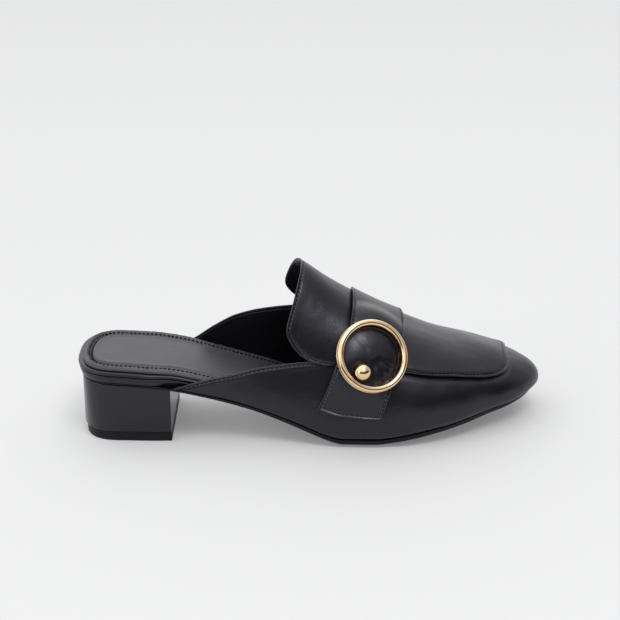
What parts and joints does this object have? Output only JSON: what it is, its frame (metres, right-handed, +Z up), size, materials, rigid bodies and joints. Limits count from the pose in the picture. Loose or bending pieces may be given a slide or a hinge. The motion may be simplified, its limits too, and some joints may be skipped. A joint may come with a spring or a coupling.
{
  "type": "heeled mule",
  "caption": "Closed-toe mule in the loafer style for the right foot, with a low block heel, a standing tongue, and a strap with a ring buckle across the instep.",
  "frame": {"origin": "under the middle of the shoe, on the floor", "axes": "+X towards the toe, +Y towards the inner side of the foot, +Z up"},
  "size_m": [0.2496, 0.093, 0.0911],
  "materials": {
    "leather": "smooth black leather, semi-gloss",
    "lining": "matte black lining leather",
    "sole_rubber": "satin black rubber",
    "buckle_metal": "polished pale gold plating"
  },
  "bodies": {
    "root": {"outsole": "sole_rubber", "midsole": "leather", "insole_board": "leather", "sock": "lining", "heel_block": "leather", "top_lift": "sole_rubber", "tread": "sole_rubber", "upper": "leather", "apron_tongue": "leather", "strap": "leather", "buckle_ring": "buckle_metal", "buckle_ball": "buckle_metal"}
  },
  "joints": []
}
